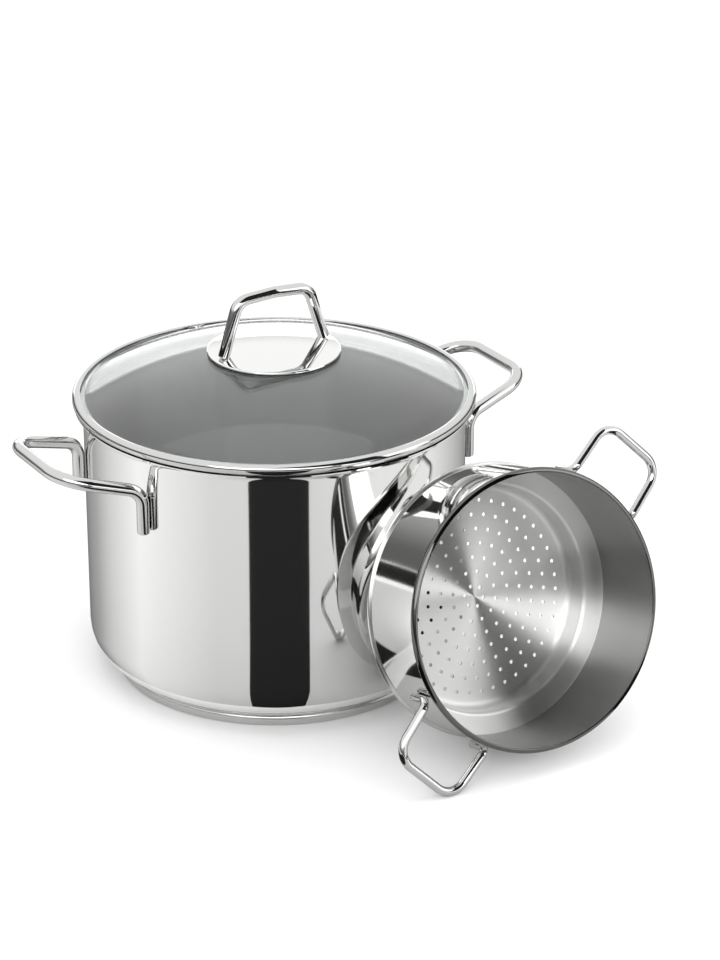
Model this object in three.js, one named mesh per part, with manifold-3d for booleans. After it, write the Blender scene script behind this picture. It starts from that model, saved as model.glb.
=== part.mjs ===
// A stainless steel pasta pot: the pot with its encapsulated base and two wire handles, a domed glass
// lid with a steel rim and a wire handle, and a perforated steaming basket that leans on the pot.
// Millimetres, +Z up. The origin is the middle of the face that the pot stands on, and the pot's two
// handles lie along X.

import * as THREE from 'three';
import { mergeVertices } from 'three/addons/utils/BufferGeometryUtils.js';
import Module from 'manifold-3d';

// Fits
const SEAT_GAP = 0.3; // between two pieces that are welded, bonded or clamped together
const LID_PLAY = 1.0; // radial play of the lid's skirt in the pot's mouth

// Pot
const POT_INNER_R = 120;
const POT_WALL = 0.8;
const POT_HEIGHT = 178.5; // floor to the top of the lip
const POT_CORNER_R = 25; // outside, between wall and bottom
const LIP_R = 5.2; // the pouring lip's flare

// Base, a heat-spreading disc closed in by a steel cap
const BASE_R = 104.6;
const BASE_HEIGHT = 6.3;
const BASE_EDGE_R = 1.5;
const CAP_WALL = 0.8;

// Pot handles
const POT_ROD_R = 4;
const POT_HANDLE_REACH = 46.7; // pot wall to the middle of the outer bar
const POT_LEG_SPACING = 88;
const POT_LEG_LENGTH = 28; // corner with the arm to the leg's end
const POT_ARM_DROP = 21.5; // top of the lip to the corner of leg and arm
const POT_BAR_SPACING = 73;
const POT_BAR_RISE = 15; // the outer bar above the corner of leg and arm
const POT_LEG_BEND_R = 12;
const POT_LOOP_CORNER_R = 16;

// Lid glass and steel rim
const GLASS_THICKNESS = 4;
const DOME_RISE = 28;
const DOME_INSET = 1.5; // inner edge of the rim to the foot of the dome
const RIM_HEIGHT = 7.4;
const RIM_SHEET = 0.7;
const RIM_OVERHANG = 1.3; // how far the rim stands out past the pot's lip
const RIM_FLANGE = 6; // how far the rim grips in from its outer edge
const SKIRT_DEPTH = 4;

// Steam vent, an eyelet in the glass
const VENT_INSET = 18.3; // inner edge of the rim to the middle of the vent
const VENT_TUBE_R = 3.2;
const VENT_BORE_R = 2.2;
const VENT_FLANGE_R = 5;
const VENT_FLANGE = 0.6;

// Lid handle, its plate and the stud that clamps them to the glass
const PLATE_R = 42.2;
const PLATE_CROWN = 3;
const PLATE_SHEET = 1;
const PLATE_EDGE = 1.2; // height of the turned-down edge
const LID_ROD_R = 3.8;
const LID_HANDLE_HEIGHT = 36; // plate edge to the middle of the grip
const LID_GRIP_HALF = 25; // middle of the lid to the corner of the grip
const LID_FOOT_INSET = 6.2; // edge of the plate to the middle of each foot
const LID_GRIP_CROWN = 1.5;
const LID_GRIP_CORNER_R = 10;
const STUD_R = 3;
const STUD_HOLE_PLAY = 1.2;
const GASKET = 0.6;
const GASKET_WIDTH = 3;
const INNER_GASKET_R = 11;
const WASHER_R = 9;
const WASHER = 1.2;
const NUT_ACROSS_FLATS = 10;
const NUT_HEIGHT = 5;
const NUT_CAP_R = 4;

// Steaming basket
const BASKET_WALL_R = 84.3; // outside of the upper wall
const BASKET_SHEET = 0.7;
const BASKET_DEPTH = 74;
const BASKET_STEP_HEIGHT = 16; // bottom to the ledge
const BASKET_LOW_R = 71; // outside of the part below the ledge
const BASKET_CORNER_R = 5;
const BASKET_LEDGE_R = 2;
const BASKET_BEAD_R = 1.5;
const BASKET_RIM_R = 1.7;
const HOLE_R = 1.2;
const HOLE_RINGS = 7;
const HOLE_PITCH = 8.9;
const FIRST_RING_R = 6.7;
const HOLES_IN_FIRST_RING = 6;

// Basket handles
const BASKET_ROD_R = 2.75;
const BASKET_BAR_R = 121; // basket axis to the middle of the outer bar, which can hang on the pot's lip
const BASKET_LEG_SPACING = 52;
const BASKET_BAR_SPACING = 49;
const BASKET_LEG_LENGTH = 17;
const BASKET_ARM_DROP = 9;
const BASKET_LEG_BEND_R = 6;
const BASKET_LOOP_CORNER_R = 13;

// How the basket leans on the pot
const BASKET_TILT = THREE.MathUtils.degToRad(15.5); // its axis above the horizontal
const BASKET_OFFSET = 66; // its axis to one side of the pot's axis
const BASKET_HEADING = THREE.MathUtils.degToRad(-0.3); // its way out from the pot, from -Y

// Facets
const ROUND_SEGMENTS = 48;
const ROD_SIDES = 8;
const ROD_STEPS = 36;
const SMALL_SEGMENTS = 16;
const HOLE_SIDES = 5;

const POT_OUTER_R = POT_INNER_R + POT_WALL;
const LIP_OUTER_R = POT_OUTER_R + LIP_R;
const POT_BOTTOM_Z = BASE_HEIGHT + SEAT_GAP;
const LIP_START_Z = POT_HEIGHT - LIP_R - POT_WALL;
const RIM_BOTTOM_Z = POT_HEIGHT + SEAT_GAP;
const RIM_MIDDLE_Z = RIM_BOTTOM_Z + RIM_HEIGHT / 2;
const RIM_OUTER_R = LIP_OUTER_R + RIM_OVERHANG;
const RIM_INNER_R = RIM_OUTER_R - RIM_FLANGE;
const LID_FOOT_HALF = PLATE_R - LID_FOOT_INSET; // middle of the lid to each foot

const wasm = await Module();
wasm.setup();

const steel = (roughness) => new THREE.MeshStandardMaterial({ color: 0xd0d0d0, metalness: 1, roughness });
const mirrorSteel = steel(0.08);
const satinSteel = steel(0.3);
const aluminium = new THREE.MeshStandardMaterial({ color: 0xb9bbbe, metalness: 1, roughness: 0.5 });
const silicone = new THREE.MeshStandardMaterial({ color: 0x2b2b2b, metalness: 0, roughness: 0.7 });
const glass = new THREE.MeshPhysicalMaterial({
  color: 0xe8eeec, metalness: 0, roughness: 0.03, transparent: true, opacity: 0.35,
});

// Outlines are lists of (radius, height) points.
function point(radius, height) {
  return new THREE.Vector2(radius, height);
}

function arc(radius, height, r, fromDegrees, toDegrees, steps) {
  return Array.from({ length: steps + 1 }, (_, i) => {
    const angle = THREE.MathUtils.degToRad(fromDegrees + ((toDegrees - fromDegrees) * i) / steps);
    return point(radius + r * Math.cos(angle), height + r * Math.sin(angle));
  });
}

// A solid of revolution about Z. The outline runs anticlockwise, with the solid on its left.
function turned(outline, segments = ROUND_SEGMENTS) {
  const geometry = new THREE.LatheGeometry(outline, segments);
  geometry.rotateX(Math.PI / 2);
  return welded(geometry);
}

// A closed outline that doesn't touch the axis ends where it starts.
function closed(outline) {
  return [...outline, outline[0].clone()];
}

function welded(geometry) {
  geometry.deleteAttribute('normal');
  geometry.deleteAttribute('uv');
  return mergeVertices(geometry, 1e-4);
}

function toSolid(geometry) {
  return new wasm.Manifold(new wasm.Mesh({
    numProp: 3,
    vertProperties: new Float32Array(geometry.attributes.position.array),
    triVerts: new Uint32Array(geometry.index.array),
  }));
}

function fromSolid(solid) {
  const mesh = solid.getMesh();
  const geometry = new THREE.BufferGeometry();
  geometry.setAttribute('position', new THREE.BufferAttribute(mesh.vertProperties, 3));
  geometry.setIndex(new THREE.BufferAttribute(mesh.triVerts, 1));
  return geometry;
}

// A round corner of a bent rod, from the end of one straight to the start of the next.
class Bend extends THREE.Curve {
  constructor(corner, before, after, radius) {
    super();
    const back = before.clone().sub(corner).normalize();
    const ahead = after.clone().sub(corner).normalize();
    const half = back.angleTo(ahead) / 2;
    const inward = back.clone().add(ahead).normalize();
    this.centre = corner.clone().addScaledVector(inward, radius / Math.sin(half));
    this.start = corner.clone().addScaledVector(back, radius / Math.tan(half));
    this.end = corner.clone().addScaledVector(ahead, radius / Math.tan(half));
    this.sweep = Math.PI - 2 * half;
    this.first = this.start.clone().sub(this.centre);
    this.second = back.clone().negate().multiplyScalar(radius);
  }

  getPoint(t, target = new THREE.Vector3()) {
    return target.copy(this.centre)
      .addScaledVector(this.first, Math.cos(this.sweep * t))
      .addScaledVector(this.second, Math.sin(this.sweep * t));
  }
}

// A round rod along straights through the corners, which are bent to their radii.
function bentRod(corners, bendRadii, rodRadius) {
  const path = new THREE.CurvePath();
  let from = corners[0];
  for (let i = 1; i < corners.length - 1; i += 1) {
    const bend = new Bend(corners[i], corners[i - 1], corners[i + 1], bendRadii[i - 1]);
    path.add(new THREE.LineCurve3(from, bend.start));
    path.add(bend);
    from = bend.end;
  }
  path.add(new THREE.LineCurve3(from, corners[corners.length - 1]));
  const sides = Array.from({ length: ROD_SIDES }, (_, i) => {
    const angle = (2 * Math.PI * i) / ROD_SIDES;
    return point(rodRadius * Math.cos(angle), rodRadius * Math.sin(angle));
  });
  return welded(new THREE.ExtrudeGeometry(new THREE.Shape(sides), {
    steps: ROD_STEPS, extrudePath: path, bevelEnabled: false,
  }));
}

// A side handle towards +X: two legs down a wall, two arms out and the outer bar between them.
function sideHandle({
  legRadius, legSpacing, legLength, legTopZ, bendR, barX, barSpacing, barZ, cornerR, rodR,
}) {
  const legY = legSpacing / 2;
  const legX = Math.sqrt(legRadius ** 2 - legY ** 2);
  const half = [
    new THREE.Vector3(legX, legY, legTopZ - legLength),
    new THREE.Vector3(legX, legY, legTopZ),
    new THREE.Vector3(barX, barSpacing / 2, barZ),
  ];
  const mirrored = half.map((corner) => new THREE.Vector3(corner.x, -corner.y, corner.z));
  return bentRod([...mirrored, ...half.reverse()], [bendR, cornerR, cornerR, bendR], rodR);
}

const pot = new THREE.Group();

function add(parent, name, geometry, material) {
  const mesh = new THREE.Mesh(geometry, material);
  mesh.name = name;
  parent.add(mesh);
  return mesh;
}

// Pot body, one deep-drawn sheet: bottom, corner, wall and flared lip.
const cornerMiddle = [POT_OUTER_R - POT_CORNER_R, POT_BOTTOM_Z + POT_CORNER_R];
const lipMiddle = [LIP_OUTER_R, LIP_START_Z];
const potBody = turned([
  point(0, POT_BOTTOM_Z),
  ...arc(...cornerMiddle, POT_CORNER_R, -90, 0, 5),
  ...arc(...lipMiddle, LIP_R, 180, 90, 3),
  ...arc(...lipMiddle, LIP_R + POT_WALL, 90, 180, 3),
  ...arc(...cornerMiddle, POT_CORNER_R - POT_WALL, 0, -90, 5),
  point(0, POT_BOTTOM_Z + POT_WALL),
]);
add(pot, 'pot_body', potBody, mirrorSteel);

// Base cap, a shallow steel cup under the pot, whose rounded upper edge meets the pot's corner.
function underPot(radius) {
  const across = Math.max(0, radius - cornerMiddle[0]);
  return cornerMiddle[1] - Math.sqrt(POT_CORNER_R ** 2 - across ** 2) - SEAT_GAP;
}
const capRoundR = BASE_R - BASE_EDGE_R;
const capInnerR = capRoundR - CAP_WALL;
add(pot, 'base_cap', turned([
  point(0, 0),
  ...arc(capRoundR, BASE_EDGE_R, BASE_EDGE_R, -90, 0, 3),
  point(BASE_R, BASE_HEIGHT - BASE_EDGE_R),
  point(capRoundR, underPot(capRoundR)),
  point(capInnerR, underPot(capInnerR)),
  point(capInnerR, CAP_WALL),
  point(0, CAP_WALL),
]), satinSteel);

// Base core, the aluminium disc that spreads the heat.
const coreR = capInnerR - SEAT_GAP;
add(pot, 'base_core', turned([
  point(0, CAP_WALL + SEAT_GAP),
  point(coreR, CAP_WALL + SEAT_GAP),
  point(coreR, BASE_HEIGHT - SEAT_GAP),
  point(0, BASE_HEIGHT - SEAT_GAP),
]), aluminium);

// Pot handles, bent rods welded to the wall.
const potLegTopZ = POT_HEIGHT - POT_ARM_DROP;
const potHandle = {
  legRadius: POT_OUTER_R + SEAT_GAP + POT_ROD_R,
  legSpacing: POT_LEG_SPACING,
  legLength: POT_LEG_LENGTH,
  legTopZ: potLegTopZ,
  bendR: POT_LEG_BEND_R,
  barX: POT_OUTER_R + POT_HANDLE_REACH,
  barSpacing: POT_BAR_SPACING,
  barZ: potLegTopZ + POT_BAR_RISE,
  cornerR: POT_LOOP_CORNER_R,
  rodR: POT_ROD_R,
};
add(pot, 'pot_handle_right', sideHandle(potHandle), mirrorSteel);
add(pot, 'pot_handle_left', sideHandle(potHandle), mirrorSteel).rotation.z = Math.PI;

// Lid glass, a dome with a flat edge that the rim grips.
const lid = new THREE.Group();
pot.add(lid);
const glassEdgeR = RIM_OUTER_R - RIM_HEIGHT / 2 - SEAT_GAP;
const glassTopZ = RIM_MIDDLE_Z + GLASS_THICKNESS / 2;
const domeFootR = RIM_INNER_R - DOME_INSET;
const domeR = (domeFootR ** 2 + DOME_RISE ** 2) / (2 * DOME_RISE);
const domeMiddleZ = glassTopZ + DOME_RISE - domeR;
const domeAngle = (radius, r = domeR) => THREE.MathUtils.radToDeg(Math.acos(radius / r));
const innerDomeR = domeR - GLASS_THICKNESS;
const innerFootR = Math.sqrt(innerDomeR ** 2 - (glassTopZ - GLASS_THICKNESS - domeMiddleZ) ** 2);
const studHoleR = STUD_R + STUD_HOLE_PLAY;
const domeTopZ = (radius) => domeMiddleZ + Math.sqrt(domeR ** 2 - radius ** 2);
const domeUnderZ = (radius) => domeMiddleZ + Math.sqrt(innerDomeR ** 2 - radius ** 2);
const blankGlass = turned(closed([
  point(glassEdgeR, glassTopZ - GLASS_THICKNESS),
  point(glassEdgeR, glassTopZ),
  ...arc(0, domeMiddleZ, domeR, domeAngle(domeFootR), domeAngle(studHoleR), 6),
  ...arc(0, domeMiddleZ, innerDomeR, domeAngle(studHoleR, innerDomeR), domeAngle(innerFootR, innerDomeR), 6),
]));

// Vent frame, on the glass at +Y and square to the dome.
const ventR = RIM_INNER_R - VENT_INSET;
const ventTilt = Math.asin(ventR / domeR);
function placeVent(object) {
  object.position.set(0, ventR, domeTopZ(ventR));
  object.rotation.x = -ventTilt;
  return object;
}
const ventDrill = new THREE.CylinderGeometry(
  VENT_TUBE_R + SEAT_GAP, VENT_TUBE_R + SEAT_GAP, 4 * GLASS_THICKNESS, SMALL_SEGMENTS,
);
const drill = placeVent(new THREE.Mesh(welded(ventDrill.rotateX(Math.PI / 2))));
drill.updateMatrix();
const ventHole = toSolid(drill.geometry.applyMatrix4(drill.matrix));
add(lid, 'lid_glass', fromSolid(toSolid(blankGlass).subtract(ventHole)), glass);

// Vent eyelet, a steel tube with a flange on each face of the glass.
const ventTop = SEAT_GAP;
const ventBottom = -GLASS_THICKNESS - SEAT_GAP;
placeVent(add(lid, 'vent_eyelet', turned(closed([
  point(VENT_BORE_R, ventBottom - VENT_FLANGE),
  point(VENT_FLANGE_R, ventBottom - VENT_FLANGE),
  point(VENT_FLANGE_R, ventBottom),
  point(VENT_TUBE_R, ventBottom),
  point(VENT_TUBE_R, ventTop),
  point(VENT_FLANGE_R, ventTop),
  point(VENT_FLANGE_R, ventTop + VENT_FLANGE),
  point(VENT_BORE_R, ventTop + VENT_FLANGE),
]), SMALL_SEGMENTS), mirrorSteel));

// Lid rim, a steel band rolled over the glass edge, with a skirt that sits in the pot's mouth.
const rollR = RIM_HEIGHT / 2;
const rollMiddleR = RIM_OUTER_R - rollR;
const skirtR = POT_INNER_R - LID_PLAY;
const gripTopZ = glassTopZ + SEAT_GAP;
const gripBottomZ = glassTopZ - GLASS_THICKNESS - SEAT_GAP;
add(lid, 'lid_rim', turned(closed([
  point(skirtR - RIM_SHEET, RIM_BOTTOM_Z - SKIRT_DEPTH),
  point(skirtR, RIM_BOTTOM_Z - SKIRT_DEPTH),
  point(skirtR, RIM_BOTTOM_Z),
  ...arc(rollMiddleR, RIM_MIDDLE_Z, rollR, -90, 90, 6),
  point(RIM_INNER_R, gripTopZ + RIM_SHEET),
  point(RIM_INNER_R, gripTopZ),
  point(glassEdgeR + SEAT_GAP, gripTopZ),
  point(glassEdgeR + SEAT_GAP, gripBottomZ),
  point(skirtR - RIM_SHEET, gripBottomZ),
])), mirrorSteel);

// Plate gasket, a silicone ring between the glass and the plate's edge.
const gasketInnerR = PLATE_R - GASKET_WIDTH;
add(lid, 'plate_gasket', turned(closed([
  point(gasketInnerR, domeTopZ(gasketInnerR) + SEAT_GAP),
  point(PLATE_R, domeTopZ(PLATE_R) + SEAT_GAP),
  point(PLATE_R, domeTopZ(PLATE_R) + SEAT_GAP + GASKET),
  point(gasketInnerR, domeTopZ(gasketInnerR) + SEAT_GAP + GASKET),
])), silicone);

// Handle plate, a pressed convex disc with a turned-down edge.
const plateEdgeZ = domeTopZ(PLATE_R) + GASKET + 2 * SEAT_GAP;
const plateShoulderZ = plateEdgeZ + PLATE_EDGE;
const crownR = (PLATE_R ** 2 + PLATE_CROWN ** 2) / (2 * PLATE_CROWN);
const crownMiddleZ = plateShoulderZ + PLATE_CROWN - crownR;
const crownAngle = (radius, r) => THREE.MathUtils.radToDeg(Math.acos(radius / r));
const plateInnerR = PLATE_R - PLATE_SHEET;
const innerCrownR = crownR - PLATE_SHEET;
const plateUndersideZ = crownMiddleZ + innerCrownR;
add(lid, 'handle_plate', turned([
  ...arc(0, crownMiddleZ, innerCrownR, 90, crownAngle(plateInnerR, innerCrownR), 4),
  point(plateInnerR, plateEdgeZ),
  point(PLATE_R, plateEdgeZ),
  ...arc(0, crownMiddleZ, crownR, crownAngle(PLATE_R, crownR), 90, 4),
]), mirrorSteel);

// Lid handle, a bent rod whose feet are cut to the plate's crown and welded there.
const gripZ = plateShoulderZ + LID_HANDLE_HEIGHT;
const footZ = plateShoulderZ;
const bowZ = gripZ + LID_GRIP_CROWN;
const footSlope = (LID_FOOT_HALF - LID_GRIP_HALF) / LID_HANDLE_HEIGHT;
const toeX = LID_FOOT_HALF + footSlope * LID_ROD_R;
const bow = new THREE.Vector3(0, 0, bowZ);
const bowR = 2 * LID_GRIP_HALF;
const lidRod = bentRod([
  new THREE.Vector3(-toeX, 0, footZ - LID_ROD_R),
  new THREE.Vector3(-LID_GRIP_HALF, 0, gripZ),
  bow,
  new THREE.Vector3(LID_GRIP_HALF, 0, gripZ),
  new THREE.Vector3(toeX, 0, footZ - LID_ROD_R),
], [LID_GRIP_CORNER_R, bowR, LID_GRIP_CORNER_R], LID_ROD_R);
const seatR = crownR + SEAT_GAP;
const seatReachR = PLATE_R + 3 * LID_ROD_R;
const plateSeat = turned([
  point(0, footZ - 4 * LID_ROD_R),
  point(seatReachR, footZ - 4 * LID_ROD_R),
  ...arc(0, crownMiddleZ, seatR, crownAngle(seatReachR, seatR), 90, 8),
]);
add(lid, 'lid_handle', fromSolid(toSolid(lidRod).subtract(toSolid(plateSeat))), mirrorSteel);

// Clamping stack under the glass: gasket, washer and cap nut on the stud that hangs from the plate.
const gasketTopZ = domeUnderZ(INNER_GASKET_R) - SEAT_GAP;
const gasketBottomZ = gasketTopZ - GASKET;
const washerTopZ = gasketBottomZ - SEAT_GAP;
const nutTopZ = washerTopZ - WASHER - SEAT_GAP;
const stackBoreR = STUD_R + SEAT_GAP;
function ring(innerR, outerR, bottomZ, topZ) {
  return turned(closed([
    point(innerR, bottomZ), point(outerR, bottomZ), point(outerR, topZ), point(innerR, topZ),
  ]), SMALL_SEGMENTS);
}
add(lid, 'inner_gasket', ring(stackBoreR, INNER_GASKET_R, gasketBottomZ, gasketTopZ), silicone);
add(lid, 'clamp_washer', ring(stackBoreR, WASHER_R, washerTopZ - WASHER, washerTopZ), satinSteel);
const studBottomZ = nutTopZ - NUT_HEIGHT;
add(lid, 'handle_stud', turned([
  point(0, studBottomZ),
  point(STUD_R, studBottomZ),
  point(STUD_R, plateUndersideZ - SEAT_GAP - crownR * (1 - Math.cos(STUD_R / crownR))),
  point(0, plateUndersideZ - SEAT_GAP),
], SMALL_SEGMENTS), satinSteel);

// Cap nut, a hexagon with a domed end, bored for the stud.
const nutCornerR = NUT_ACROSS_FLATS / Math.sqrt(3);
const nutBody = turned([
  point(0, nutTopZ - NUT_HEIGHT),
  point(nutCornerR, nutTopZ - NUT_HEIGHT),
  point(nutCornerR, nutTopZ),
  point(0, nutTopZ),
], 6);
const nutDome = turned([
  ...arc(0, nutTopZ - NUT_HEIGHT, NUT_CAP_R, -90, 0, 4),
  point(NUT_CAP_R, nutTopZ - NUT_HEIGHT / 2),
  point(0, nutTopZ - NUT_HEIGHT / 2),
], SMALL_SEGMENTS);
const nutBore = turned([
  point(0, studBottomZ - SEAT_GAP),
  point(stackBoreR, studBottomZ - SEAT_GAP),
  point(stackBoreR, nutTopZ + NUT_HEIGHT),
  point(0, nutTopZ + NUT_HEIGHT),
], SMALL_SEGMENTS);
const capNut = toSolid(nutBody).add(toSolid(nutDome)).subtract(toSolid(nutBore));
add(lid, 'cap_nut', fromSolid(capNut), mirrorSteel);

// Basket shell, in its own frame with the bottom at zero: bottom, ledge, bead, wall and rolled rim.
const leaning = new THREE.Group();
leaning.rotation.z = BASKET_HEADING;
pot.add(leaning);
const basket = new THREE.Group();
leaning.add(basket);
const ledgeTurn = [BASKET_LOW_R + BASKET_LEDGE_R, BASKET_STEP_HEIGHT - BASKET_LEDGE_R];
const lowCorner = [BASKET_LOW_R - BASKET_CORNER_R, BASKET_CORNER_R];
const bead = [BASKET_WALL_R, BASKET_STEP_HEIGHT + BASKET_BEAD_R];
const innerWallR = BASKET_WALL_R - BASKET_SHEET;
const blankBasket = turned([
  point(0, 0),
  ...arc(...lowCorner, BASKET_CORNER_R, -90, 0, 3),
  ...arc(...ledgeTurn, BASKET_LEDGE_R, 180, 90, 2),
  ...arc(...bead, BASKET_BEAD_R, -90, 90, 4),
  ...arc(BASKET_WALL_R, BASKET_DEPTH - BASKET_RIM_R, BASKET_RIM_R, -90, 90, 4),
  point(innerWallR, BASKET_DEPTH - BASKET_RIM_R),
  point(innerWallR, BASKET_STEP_HEIGHT + 2 * BASKET_BEAD_R),
  ...arc(...bead, BASKET_BEAD_R - BASKET_SHEET, 90, -90, 3),
  ...arc(...ledgeTurn, BASKET_LEDGE_R + BASKET_SHEET, 90, 180, 2),
  ...arc(...lowCorner, BASKET_CORNER_R - BASKET_SHEET, 0, -90, 3),
  point(0, BASKET_SHEET),
]);

// Holes in rings round the middle, with six more in each ring than in the one inside it.
const punchPin = new THREE.CylinderGeometry(HOLE_R, HOLE_R, 4 * BASKET_SHEET, HOLE_SIDES);
const punch = welded(punchPin.rotateX(Math.PI / 2));
const punches = [];
for (let ringIndex = 1; ringIndex <= HOLE_RINGS; ringIndex += 1) {
  const holeCount = HOLES_IN_FIRST_RING * ringIndex;
  const ringR = FIRST_RING_R + HOLE_PITCH * (ringIndex - 1);
  for (let i = 0; i < holeCount; i += 1) {
    const angle = (2 * Math.PI * i) / holeCount;
    punches.push(toSolid(punch.clone().translate(ringR * Math.cos(angle), ringR * Math.sin(angle), 0)));
  }
}
const perforation = punches.reduce((all, one) => all.add(one));
add(basket, 'basket_shell', fromSolid(toSolid(blankBasket).subtract(perforation)), satinSteel);

// Basket handles, thinner rods welded to the wall under the rim.
const basketArmZ = BASKET_DEPTH - BASKET_ARM_DROP;
const basketHandle = {
  legRadius: BASKET_WALL_R + SEAT_GAP + BASKET_ROD_R,
  legSpacing: BASKET_LEG_SPACING,
  legLength: BASKET_LEG_LENGTH,
  legTopZ: basketArmZ,
  bendR: BASKET_LEG_BEND_R,
  barX: BASKET_BAR_R,
  barSpacing: BASKET_BAR_SPACING,
  barZ: basketArmZ,
  cornerR: BASKET_LOOP_CORNER_R,
  rodR: BASKET_ROD_R,
};
add(basket, 'basket_handle_upper', sideHandle(basketHandle), mirrorSteel);
add(basket, 'basket_handle_lower', sideHandle(basketHandle), mirrorSteel).rotation.z = Math.PI;

// The basket leans: its bead and the corner of its lower loop stand on the floor, and its bottom edge
// touches the pot. Its circles are (radius, height) pairs in its own frame.
const tiltSin = Math.sin(BASKET_TILT);
const tiltCos = Math.cos(BASKET_TILT);
const basketCircles = [
  [BASKET_LOW_R - BASKET_CORNER_R, 0],
  [BASKET_LOW_R, BASKET_CORNER_R],
  [BASKET_WALL_R + BASKET_BEAD_R, bead[1]],
  [BASKET_WALL_R + BASKET_RIM_R, BASKET_DEPTH - BASKET_RIM_R],
];
const basketZ = Math.max(...basketCircles.map(([r, h]) => r * tiltCos - h * tiltSin));

// Turn about its own axis that brings the loop's corner down to the floor.
const loopMiddleX = BASKET_BAR_R - BASKET_LOOP_CORNER_R;
const loopMiddleY = BASKET_BAR_SPACING / 2 - BASKET_LOOP_CORNER_R;
const loopZ = basketZ + basketArmZ * tiltSin;
const loopDrop = (loopZ - BASKET_ROD_R) / tiltCos - BASKET_LOOP_CORNER_R;
const basketTurn = Math.asin(loopDrop / Math.hypot(loopMiddleX, loopMiddleY))
  - Math.atan2(loopMiddleY, loopMiddleX);

// How far out along -Y each point of the circles has to be to clear the pot's wall, or its lid above.
const potReach = (z) => (z < LIP_START_Z ? POT_OUTER_R : RIM_OUTER_R);
const TOUCH_SAMPLES = 720;
const clearY = basketCircles.flatMap(([r, h]) => Array.from({ length: TOUCH_SAMPLES }, (_, i) => {
  const angle = (2 * Math.PI * i) / TOUCH_SAMPLES;
  const x = BASKET_OFFSET + r * Math.cos(angle);
  const z = basketZ + h * tiltSin + r * tiltCos * Math.sin(angle);
  const reach = potReach(z) + SEAT_GAP;
  const behind = -h * tiltCos + r * tiltSin * Math.sin(angle);
  return Math.abs(x) < reach ? -Math.sqrt(reach ** 2 - x ** 2) - behind : Infinity;
}));
basket.rotation.set(Math.PI / 2 - BASKET_TILT, 0, basketTurn);
basket.position.set(BASKET_OFFSET, Math.min(...clearY), basketZ);

export default pot;
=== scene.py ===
import math

import bmesh
import bpy
from mathutils import Matrix, Vector


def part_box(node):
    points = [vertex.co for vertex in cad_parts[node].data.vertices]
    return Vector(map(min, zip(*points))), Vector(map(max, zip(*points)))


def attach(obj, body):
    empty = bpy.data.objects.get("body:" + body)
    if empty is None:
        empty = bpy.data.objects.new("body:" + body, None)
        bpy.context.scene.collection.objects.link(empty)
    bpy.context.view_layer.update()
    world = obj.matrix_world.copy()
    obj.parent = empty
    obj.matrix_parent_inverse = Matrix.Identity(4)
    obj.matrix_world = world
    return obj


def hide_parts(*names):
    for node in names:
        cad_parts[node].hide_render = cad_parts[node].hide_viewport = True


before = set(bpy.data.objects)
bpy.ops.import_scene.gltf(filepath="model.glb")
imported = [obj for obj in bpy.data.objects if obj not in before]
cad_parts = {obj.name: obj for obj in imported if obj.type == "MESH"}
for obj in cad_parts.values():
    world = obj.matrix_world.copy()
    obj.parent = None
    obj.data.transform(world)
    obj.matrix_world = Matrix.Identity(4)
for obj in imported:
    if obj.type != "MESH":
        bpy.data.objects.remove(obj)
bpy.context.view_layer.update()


# Pot body. One sheet of 18/10 stainless steel, deep-drawn to a straight wall with a wide bottom
# corner and flared into a pouring lip. It is buffed to a mirror outside and in.
SHEET = 0.0008
CORNER_R = 0.025
LIP_R = 0.0052
ROUND_STEPS = 8
MERGE_DISTANCE = 1e-6
SHARP_EDGE = math.radians(40)


def linear(hex_colour):
    """An sRGB hex colour as the linear colour that a shader socket takes."""
    values = [int(hex_colour[i:i + 2], 16) / 255 for i in (1, 3, 5)]
    return [v / 12.92 if v <= 0.04045 else ((v + 0.055) / 1.055) ** 2.4 for v in values] + [1.0]


def node(tree, kind, inputs, **settings):
    """Adds a node with its settings. Each input is a value or the output that feeds it."""
    made = tree.nodes.new(kind)
    for name, value in settings.items():
        setattr(made, name, value)
    for socket, value in inputs.items():
        if isinstance(value, bpy.types.NodeSocket):
            tree.links.new(value, made.inputs[socket])
        else:
            made.inputs[socket].default_value = value
    return made


def turned(outline, segments=160, closed=False):
    """A shape turned about Z. Outline points are radius, height and how far back the corner is rounded."""
    form = bmesh.new()
    corners = [form.verts.new((radius, 0, height)) for radius, height, _ in outline]
    ends = corners[1:] + (corners[:1] if closed else [])
    for start, end in zip(corners, ends):
        form.edges.new((start, end))
    for corner, (_, _, cut_back) in zip(corners, outline):
        if cut_back:
            bmesh.ops.bevel(
                form, geom=[corner], offset=cut_back, segments=ROUND_STEPS, profile=0.5, affect="VERTICES",
                material=-1,
            )
    bmesh.ops.spin(
        form, geom=form.verts[:] + form.edges[:], cent=(0, 0, 0), axis=(0, 0, 1),
        angle=math.tau, steps=segments, use_merge=True,
    )
    bmesh.ops.remove_doubles(form, verts=form.verts[:], dist=MERGE_DISTANCE)
    bmesh.ops.recalc_face_normals(form, faces=form.faces[:])
    return form


def piece(form, name, finishes, body, slot, *nodes):
    """Makes a modelled shape the piece that stands for its CAD nodes and moves with their body."""
    for face in form.faces:
        face.smooth = True
    for edge in form.edges:
        edge.smooth = len(edge.link_faces) != 2 or edge.calc_face_angle() < SHARP_EDGE
    mesh = bpy.data.meshes.new(name)
    form.to_mesh(mesh)
    form.free()
    made = bpy.data.objects.new(name, mesh)
    bpy.context.collection.objects.link(made)
    for finish in finishes:
        mesh.materials.append(finish)
    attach(made, body)
    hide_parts(*nodes)
    return made


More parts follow.
